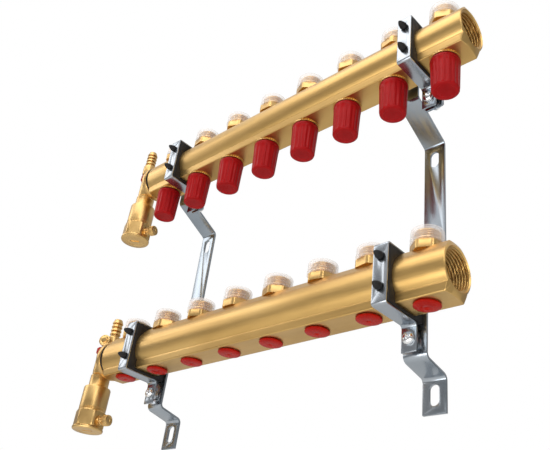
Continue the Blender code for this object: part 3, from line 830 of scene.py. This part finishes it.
def vent_mesh():
    """Wide neck, float chamber with turned steps, hexagon, screwed lid with a slot."""
    profile = [(0, -0.0143), (0.0094, -0.0143), (0.0101, -0.0149), (0.0101, -0.0166),
               (0.0098, -0.0169), (0.0098, -0.0174), (0.0101, -0.0177), (0.0101, -0.0256),
               (0.0104, -0.0262), (0.0120, -0.0266), (0.0133, -0.0273), (0.0138, -0.0284),
               (0.0138, -0.0490), (0.0135, -0.0493), (0.0135, -0.0498), (0.0138, -0.0501),
               (0.0138, -0.0506), (0.0135, -0.0509), (0.0135, -0.0514), (0.0139, -0.0519),
               (0.0144, -0.0526), (0.0151, -0.0530), (0.0151, -0.0536), (0.0151, -0.0676),
               (0.0151, -0.0682), (0.0144, -0.0685), (0.0150, -0.0687), (0.0156, -0.0690),
               (0.0157, -0.0695), (0.0157, -0.0704), (0.0154, -0.0711), (0.0147, -0.0715),
               (0.0100, -0.0715), (0.0096, -0.0712), (0, -0.0712)]

    def shape(r, z, angle):
        if -0.0683 < z < -0.0529 and r > 0.0145:
            chamfer = 0.0004 if z > -0.0532 or z < -0.0680 else 0.0
            return min(0.0157 - chamfer, 0.0141 / cos(from_flat(angle))), z
        return r, z

    body = revolve("vent", profile, 120, shape)
    slot = bmesh.new()
    mark = arc((0.0042, 0), 0.0013, -90, 90, 10) + arc((-0.0042, 0), 0.0013, 90, 270, 10)
    extrude("", mark, -0.0740, -0.0705, Matrix.Rotation(0.5, 4, "Z"), slot)
    return carve("vent", body, to_mesh("slot", slot))


def port_mesh():
    """Threaded side port: hexagon root, neck, and the groove before its cap."""
    profile = [(0, 0.0115), (0.0056, 0.0115), (0.0056, 0.0150), (0.0052, 0.0154),
               (0.0042, 0.0156)]
    profile += threaded_wall(0.0042, 0.0157, 0.0188, 0.001, 8) + [(0.0036, 0.0190), (0, 0.0190)]
    cut = thread(0.0042, 0.0005, 0.001, 0.0157, 0.0188, 0.0004)

    def shape(r, z, angle):
        if r > 0.0050:
            return min(r, 0.0050 / cos(from_flat(angle))), z
        return cut(r, z, angle)

    return revolve("port", profile, 72, shape)


def vent_cap_mesh():
    profile = [(0, 0.0193), (0.0050, 0.0193), (0.0055, 0.0197), (0.0056, 0.0202),
               (0.0056, 0.0248), (0.0053, 0.0256), (0.0046, 0.0261), (0.0040, 0.0262),
               (0.0034, 0.0259), (0.0016, 0.0258), (0.0012, 0.0253), (0, 0.0253)]

    def shape(r, z, angle):
        return r - (0.00018 * (1 + cos(28 * angle)) if r > 0.0054 else 0.0), z

    return revolve("vent_cap", profile, 140, shape)


def joint(name):
    """A hinge's place, its axis's yaw, and the turn that lays local Z along the axis."""
    found = next(j for j in frame["joints"] if j["name"] == name)
    yaw = Vector((1, 0)).angle_signed(Vector(found["axis"][:2])) * -1
    across = (Matrix.Rotation(yaw, 4, "Z") @ Matrix.Rotation(pi / 2, 4, "Y")).to_euler()
    return Vector(found["pos_m"]), yaw, across


def end_pieces():
    flange, tee, wheel, elbow = flange_mesh(), tee_mesh(), wheel_mesh(), elbow_mesh()
    knob, vent, port, cap = drain_knob_mesh(), vent_mesh(), port_mesh(), vent_cap_mesh()
    seal = revolve("seal", [(0.0184 + r, x - 0.0006) for r, x in arc((0, 0), 0.0007, 0, 330, 11)],
                   96, transform=ALONG_X)
    for run in RUNS:
        name = run.name
        centre = (run.left - TEE_OFFSET, run.y, run.z)
        piece("end_flange_" + name, flange, TURNED, "end_piece_" + name,
              (run.left, run.y, run.z))
        piece("end_seal_" + name, seal, RUBBER, "end_piece_" + name, (run.left, run.y, run.z),
              (0, 0, 0), False)
        piece("end_tee_" + name, tee, TURNED, "end_piece_" + name, centre, (0, 0, 0), False)
        piece("drain_ring_" + name, wheel, RED_PLUG, "drain_wheel_" + name, centre)
        _, yaw, across = joint(f"drain_knob_{name}_turn")
        piece("drain_cock_" + name, elbow, TURNED, "drain_elbow_" + name, centre, (0, 0, yaw))
        piece("drain_handle_" + name, knob, TURNED, "drain_knob_" + name,
              (centre[0], centre[1], centre[2] + KNOB_HEIGHT), across)
        piece("vent_shell_" + name, vent, TURNED, "vent_body_" + name, centre, (0, 0, 0.2))
        spot, _, across = joint(f"vent_cap_{name}_turn")
        piece("vent_port_" + name, port, TURNED, "vent_body_" + name, spot, across, False)
        piece("vent_screw_" + name, cap, TURNED, "vent_cap_" + name, spot, across)


# ---- studio ---------------------------------------------------------------------------
# brightness of the room from straight below (0) to straight above (1)
ROOM = ((0.0, 0.90), (0.30, 0.76), (0.46, 0.50), (0.57, 0.37), (0.66, 0.40), (0.80, 0.74),
        (0.92, 0.90))
ROOM_STRENGTH = 0.80
# name, place, target, size, watts
LAMPS = (("top", (0.0, -0.9, 1.5), (0, -0.05, 0.1), (1.9, 1.2), 14),
         ("left", (-1.6, -0.95, 0.9), (-0.15, -0.05, 0.1), (0.8, 1.1), 6),
         ("side", (1.3, -1.2, 1.0), (0.1, -0.05, 0.1), (0.5, 0.8), 5),
         ("under", (0.25, -0.8, -0.42), (0, -0.05, 0.05), (1.3, 0.5), 8))
FLOOR_LEVEL, FLOOR_REACH = -0.46, 3.0
LENS, SENSOR = 46.407, 36.0
CAMERA_PLACE = (0.41995, -0.44195, -0.24656)
# the camera's own right, down and ahead directions
CAMERA_AXES = ((0.73497, 0.667708, 0.118259), (-0.278326, 0.456076, -0.845299),
               (-0.618347, 0.588355, 0.521042))


def room():
    """White for the camera, a darker band at eye level for what the metal mirrors."""
    world = bpy.data.worlds.new("studio")
    bpy.context.scene.world = world
    world.use_nodes = True
    nodes, links = world.node_tree.nodes, world.node_tree.links
    mirrored, seen = nodes["Background"], nodes.new("ShaderNodeBackground")
    mirrored.inputs["Strength"].default_value = ROOM_STRENGTH
    seen.inputs["Strength"].default_value = 1.0
    seen.inputs["Color"].default_value = (1, 1, 1, 1)
    where, height = nodes.new("ShaderNodeTexCoord"), nodes.new("ShaderNodeSeparateXYZ")
    lift, ramp = nodes.new("ShaderNodeMapRange"), nodes.new("ShaderNodeValToRGB")
    lift.inputs["From Min"].default_value = -1.0
    fill_ramp(ramp, [(position, (level,) * 3) for position, level in ROOM])
    links.new(where.outputs["Generated"], height.inputs["Vector"])
    links.new(height.outputs["Z"], lift.inputs["Value"])
    links.new(lift.outputs["Result"], ramp.inputs["Fac"])
    links.new(ramp.outputs["Color"], mirrored.inputs["Color"])
    rays, choose = nodes.new("ShaderNodeLightPath"), nodes.new("ShaderNodeMixShader")
    links.new(rays.outputs["Is Camera Ray"], choose.inputs["Fac"])
    links.new(mirrored.outputs["Background"], choose.inputs[1])
    links.new(seen.outputs["Background"], choose.inputs[2])
    links.new(choose.outputs["Shader"], nodes["World Output"].inputs["Surface"])


def lamps():
    for name, place, target, size, watts in LAMPS:
        data = bpy.data.lights.new(name, "AREA")
        data.shape = "RECTANGLE"
        data.size, data.size_y = size
        data.energy = watts
        lamp = add_to_scene(name, data)
        lamp.location = place
        lamp.rotation_euler = (Vector(target) - Vector(place)).to_track_quat("-Z", "Y").to_euler()
        lamp.visible_camera = False


def ground():
    bm = bmesh.new()
    bmesh.ops.create_grid(bm, x_segments=24, y_segments=24, size=FLOOR_REACH)
    sheet = add_to_scene("floor", to_mesh("floor", bm))
    sheet.location = (0, 0, FLOOR_LEVEL)
    paper = Look("paper", 0.8)
    paper.colour(paper.noise(6), (0.3, (0.83, 0.83, 0.82)), (0.7, (0.87, 0.87, 0.86)))
    paper.bump(paper.noise(300), 0.05, 0.0005)
    sheet.data.materials.append(paper.material)


def camera():
    data = bpy.data.cameras.new("camera")
    data.lens, data.sensor_width = LENS, SENSOR
    data.clip_start = 0.01
    thing = add_to_scene("camera", data)
    right, down, ahead = CAMERA_AXES
    turn = Matrix([(right[k], -down[k], -ahead[k]) for k in range(3)])
    thing.matrix_world = Matrix.Translation(CAMERA_PLACE) @ turn.to_4x4()
    bpy.context.scene.camera = thing


def studio():
    room()
    lamps()
    ground()
    camera()
    bpy.context.scene.view_settings.view_transform = "Standard"


bars()
brackets()
end_pieces()
studio()
